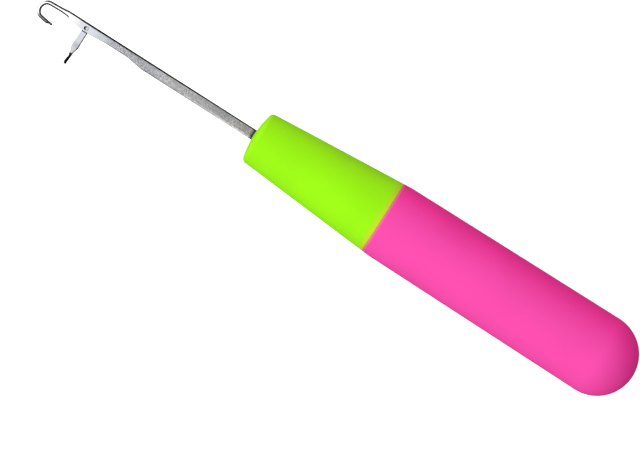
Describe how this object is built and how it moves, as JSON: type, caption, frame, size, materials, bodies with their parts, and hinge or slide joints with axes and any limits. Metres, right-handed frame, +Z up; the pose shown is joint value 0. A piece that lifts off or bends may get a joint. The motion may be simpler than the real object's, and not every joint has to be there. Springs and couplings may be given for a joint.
{
  "type": "latch hook",
  "caption": "Steel rug-making needle with a hook and a swinging latch, set in a thick round handle of lime and pink mouldings.",
  "frame": {"origin": "centre of the bounding box on the plane that the handle lies on", "axes": "+X along the tool from the hook to the butt, -Y towards the side that the hook opens to, +Z up from the flats of the needle"},
  "size_m": [0.1648, 0.0198, 0.0197],
  "materials": {
    "needle_steel": "bright steel, grainy on the flats and smooth on the round wire of the hook",
    "latch_steel": "bright stamped steel",
    "rivet_steel": "peened steel, a little darker than the needle",
    "lime_moulding": "soft matt lime green moulding",
    "pink_moulding": "soft matt pink moulding",
    "core_moulding": "plain off-white moulding, hidden in the handle"
  },
  "bodies": {
    "tool": {"needle": "needle_steel", "latch_rivet": "rivet_steel", "collar": "lime_moulding", "handle_grip": "pink_moulding", "handle_core": "core_moulding"},
    "latch": {"latch": "latch_steel"}
  },
  "joints": [
    {"name": "latch_pivot", "type": "hinge", "parent": "tool", "child": "latch", "pos_m": [-0.06988, -0.0001, 0.00986], "axis": [0, 0, 1], "range_deg": [-62, 82]}
  ]
}
